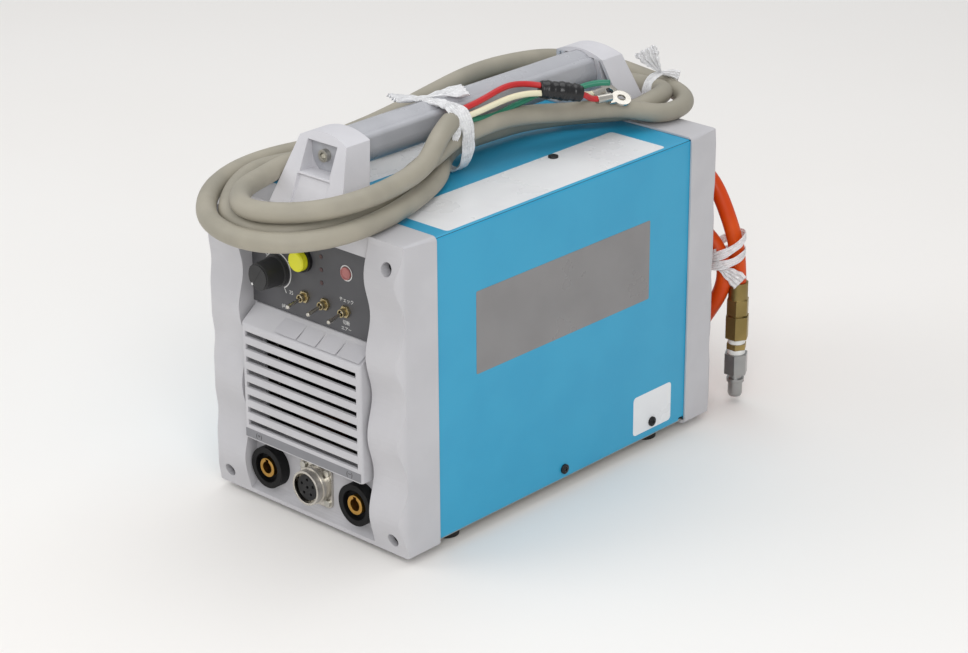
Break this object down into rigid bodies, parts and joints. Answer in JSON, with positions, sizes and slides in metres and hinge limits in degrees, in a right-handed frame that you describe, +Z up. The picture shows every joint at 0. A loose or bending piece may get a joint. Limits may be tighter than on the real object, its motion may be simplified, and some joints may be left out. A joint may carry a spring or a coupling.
{
  "type": "plasma cutter unit",
  "caption": "Portable inverter plasma cutting power source with wave-sided end bezels, blue sheet cover, carrying handle, wound mains cable and air hose with a quick plug.",
  "frame": {"origin": "on the floor under the middle of the case", "axes": "+Z up, the controls face -Y, +X is to the right of someone facing the controls"},
  "size_m": [0.2068, 0.5092, 0.2957],
  "materials": {
    "cover_paint": "semi-gloss powder coat",
    "case_plastic": "fine moulded grain",
    "black_plastic": "satin",
    "panel_sheet": "matt",
    "zinc_steel": "zinc plated",
    "black_steel": "black oxide",
    "foot_rubber": "matt",
    "contact_brass": "turned",
    "bar_metal": "painted grey",
    "aluminium": "extruded",
    "yellow_plastic": "glossy",
    "red_lens": "glossy",
    "board": "solder mask",
    "capacitor_sleeve": "shrink sleeve",
    "ferrite": "laminated",
    "copper": "enamelled copper",
    "cable_jacket": "matt vinyl",
    "core_red": "vinyl",
    "tape": "vinyl tape",
    "hose_orange": "polyurethane",
    "tube_blue": "polyurethane",
    "fitting_brass": "tarnished",
    "plug_steel": "nickel plated",
    "white_plastic": "satin"
  },
  "bodies": {
    "case": {"base_plate": "zinc_steel", "outer_cover": "cover_paint", "front_bezel": "case_plastic", "rear_bezel": "case_plastic", "front_grille": "case_plastic", "control_panel": "panel_sheet", "front_handle_post": "case_plastic", "rear_handle_post": "case_plastic", "handle_bar": "bar_metal", "handle_bolts": "zinc_steel", "post_screws": "zinc_steel", "bezel_screws": "black_steel", "cover_screws": "black_steel", "rubber_feet": "foot_rubber", "foot_screws": "zinc_steel", "front_bulkhead": "zinc_steel", "rear_bulkhead": "zinc_steel", "output_sockets": "black_plastic", "socket_contacts": "contact_brass", "control_connector": "plug_steel", "connector_insert": "black_plastic", "connector_screws": "zinc_steel", "potentiometer": "zinc_steel", "toggle_switches": "contact_brass", "toggle_nuts": "contact_brass", "button_housing": "black_plastic", "power_lamp": "red_lens", "status_lamps": "red_lens", "control_board": "board", "main_board": "board", "capacitors": "capacitor_sleeve", "heat_sink": "aluminium", "power_modules": "black_plastic", "transformer_core": "ferrite", "transformer_winding": "copper", "output_reactor": "copper", "fan_frame": "black_plastic", "breaker_body": "black_plastic", "air_valve": "aluminium", "air_tube": "tube_blue", "air_inlet": "fitting_brass", "cable_gland": "black_plastic", "earth_terminal": "contact_brass", "power_cable": "cable_jacket", "cable_hank": "cable_jacket", "core_wires": "core_red", "ring_terminals": "plug_steel", "tape_wrap": "tape", "air_hose": "hose_orange", "hose_coil": "hose_orange", "hose_fitting": "fitting_brass", "air_plug": "plug_steel"},
    "knob": {"current_knob": "black_plastic", "knob_shaft": "zinc_steel"},
    "toggle_left": {"left_toggle_lever": "plug_steel"},
    "toggle_middle": {"middle_toggle_lever": "plug_steel"},
    "toggle_right": {"right_toggle_lever": "plug_steel"},
    "button": {"button_cap": "yellow_plastic"},
    "fan": {"fan_rotor": "black_plastic"},
    "breaker": {"breaker_lever": "white_plastic"}
  },
  "joints": [
    {"name": "knob_turn", "type": "hinge", "parent": "case", "child": "knob", "pos_m": [-0.0375, -0.17, 0.1875], "axis": [0, -1, 0], "range_deg": [-280, 0]},
    {"name": "toggle_left_tilt", "type": "hinge", "parent": "case", "child": "toggle_left", "pos_m": [-0.0097, -0.1629, 0.1747], "axis": [-1, 0, 0], "range_deg": [0, 24]},
    {"name": "toggle_middle_tilt", "type": "hinge", "parent": "case", "child": "toggle_middle", "pos_m": [0.0109, -0.1629, 0.1747], "axis": [-1, 0, 0], "range_deg": [0, 24]},
    {"name": "toggle_right_tilt", "type": "hinge", "parent": "case", "child": "toggle_right", "pos_m": [0.0315, -0.1629, 0.1747], "axis": [-1, 0, 0], "range_deg": [0, 24]},
    {"name": "button_press", "type": "slide", "parent": "case", "child": "button", "axis": [0, 1, 0], "range_m": [0, 0.0025], "stiffness_N_per_m": 900, "springref_m": -0.002},
    {"name": "fan_spin", "type": "hinge", "parent": "case", "child": "fan", "pos_m": [0, 0.13, 0.128], "axis": [0, 1, 0], "continuous": true},
    {"name": "breaker_flip", "type": "hinge", "parent": "case", "child": "breaker", "pos_m": [-0.036, 0.1535, 0.206], "axis": [1, 0, 0], "range_deg": [0, 48]}
  ]
}
